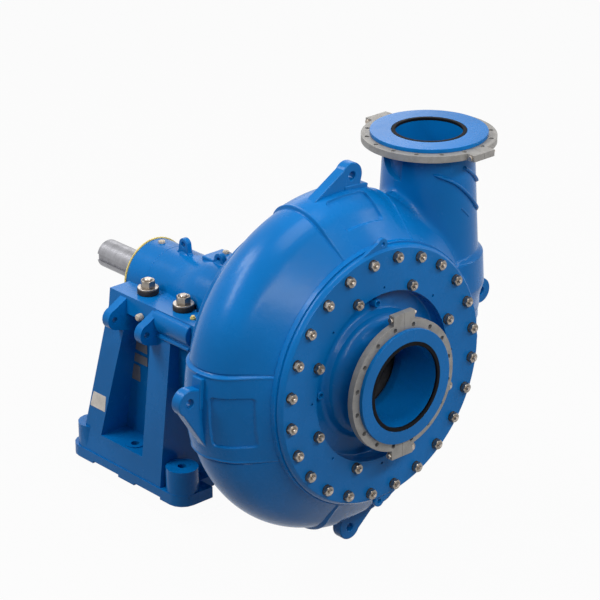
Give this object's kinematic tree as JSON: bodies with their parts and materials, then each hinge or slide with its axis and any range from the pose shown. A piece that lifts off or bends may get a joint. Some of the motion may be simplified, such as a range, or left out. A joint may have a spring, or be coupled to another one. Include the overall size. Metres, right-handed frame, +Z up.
{
  "type": "slurry pump",
  "caption": "Heavy horizontal slurry pump: bolted volute casing with vertical discharge, split flange rings, and a bearing cartridge on a cast pedestal.",
  "frame": {"origin": "middle of the pedestal's base, on the underside of its middle foot pad", "axes": "+Y along the shaft from the suction nozzle to the drive end, +X towards the discharge, +Z up"},
  "size_m": [1.8527, 2.0309, 1.8318],
  "materials": {
    "blue_paint": "semi-gloss enamel over cast iron",
    "grey_ring": "bare machined ductile iron",
    "bright_steel": "zinc plated or machined steel",
    "shaft_steel": "turned steel",
    "hard_iron": "as-cast hard white iron",
    "brass": "machined brass",
    "black_rubber": "moulded rubber",
    "packing_braid": "greased braided packing",
    "yellow_shim": "yellow shim and cap"
  },
  "bodies": {
    "frame": {"volute_casing": "blue_paint", "front_cover": "blue_paint", "suction_throat": "blue_paint", "rear_cover": "blue_paint", "rear_liner": "hard_iron", "suction_seal": "black_rubber", "discharge_seal": "black_rubber", "stuffing_box": "blue_paint", "lantern_ring": "brass", "packing_ring_1": "packing_braid", "packing_ring_2": "packing_braid", "packing_ring_3": "packing_braid", "gland_stud_left": "bright_steel", "gland_stud_right": "bright_steel", "pedestal": "blue_paint", "clamp_stud_1": "bright_steel", "clamp_stud_2": "bright_steel", "clamp_stud_3": "bright_steel", "clamp_stud_4": "bright_steel", "clamp_washer_1": "bright_steel", "clamp_washer_2": "bright_steel", "clamp_washer_3": "bright_steel", "clamp_washer_4": "bright_steel", "side_plug": "bright_steel", "water_port_cap": "yellow_shim"},
    "cartridge": {"bearing_housing": "blue_paint", "pump_bearing_outer_race": "bright_steel", "drive_bearing_outer_race": "bright_steel", "pump_end_cover": "blue_paint", "drive_end_cover": "blue_paint", "pump_end_shim": "yellow_shim", "drive_end_shim": "yellow_shim", "grease_plug_pump_end": "bright_steel", "grease_plug_drive_end": "bright_steel"},
    "rotor": {"shaft": "shaft_steel", "impeller": "hard_iron", "release_collar": "bright_steel", "shaft_sleeve": "bright_steel", "pump_bearing_inner_race": "bright_steel", "drive_bearing_inner_race": "bright_steel", "pump_end_labyrinth": "bright_steel", "drive_end_labyrinth": "bright_steel", "bearing_lock_nut": "bright_steel"},
    "pump_cage": {"pump_bearing_rollers": "brass"},
    "drive_cage": {"drive_bearing_rollers": "brass"},
    "gland": {"gland_upper": "bright_steel", "gland_lower": "bright_steel", "gland_nut_left": "bright_steel", "gland_nut_right": "bright_steel"},
    "adjuster": {"adjusting_screw": "bright_steel"},
    "suction_ring": {"suction_ring_left": "grey_ring", "suction_ring_right": "grey_ring", "suction_ring_bolt_top": "bright_steel", "suction_ring_bolt_bottom": "bright_steel"},
    "discharge_ring": {"discharge_ring_left": "grey_ring", "discharge_ring_right": "grey_ring", "discharge_ring_bolt_front": "bright_steel", "discharge_ring_bolt_rear": "bright_steel"}
  },
  "joints": [
    {"name": "cartridge_slide", "type": "slide", "parent": "frame", "child": "cartridge", "axis": [0, 1, 0], "range_m": [-0.003, 0.006]},
    {"name": "shaft_spin", "type": "hinge", "parent": "cartridge", "child": "rotor", "pos_m": [0, -0.9555, 0.84], "axis": [0, 1, 0], "continuous": true},
    {"name": "pump_cage_spin", "type": "hinge", "parent": "cartridge", "child": "pump_cage", "pos_m": [0, -0.9555, 0.84], "axis": [0, 1, 0], "continuous": true},
    {"name": "drive_cage_spin", "type": "hinge", "parent": "cartridge", "child": "drive_cage", "pos_m": [0, -0.9555, 0.84], "axis": [0, 1, 0], "continuous": true},
    {"name": "gland_slide", "type": "slide", "parent": "frame", "child": "gland", "axis": [0, 1, 0], "range_m": [0, 0.01]},
    {"name": "adjuster_turn", "type": "hinge", "parent": "cartridge", "child": "adjuster", "pos_m": [0, -0.9555, 0.615], "axis": [0, 1, 0], "range_deg": [-361, 721]},
    {"name": "suction_ring_turn", "type": "hinge", "parent": "frame", "child": "suction_ring", "pos_m": [0, -1.39, 0.84], "axis": [0, 1, 0], "range_deg": [-11.25, 11.25]},
    {"name": "discharge_ring_turn", "type": "hinge", "parent": "frame", "child": "discharge_ring", "pos_m": [0.563, -0.9555, 1.727], "axis": [0, 0, 1], "range_deg": [-11.25, 11.25]}
  ],
  "couplings": [
    {"joint": "pump_cage_spin", "follows": "shaft_spin", "ratio": 0.4447},
    {"joint": "drive_cage_spin", "follows": "shaft_spin", "ratio": 0.4455},
    {"joint": "adjuster_turn", "follows": "cartridge_slide", "rad_per_m": 2094.4}
  ]
}
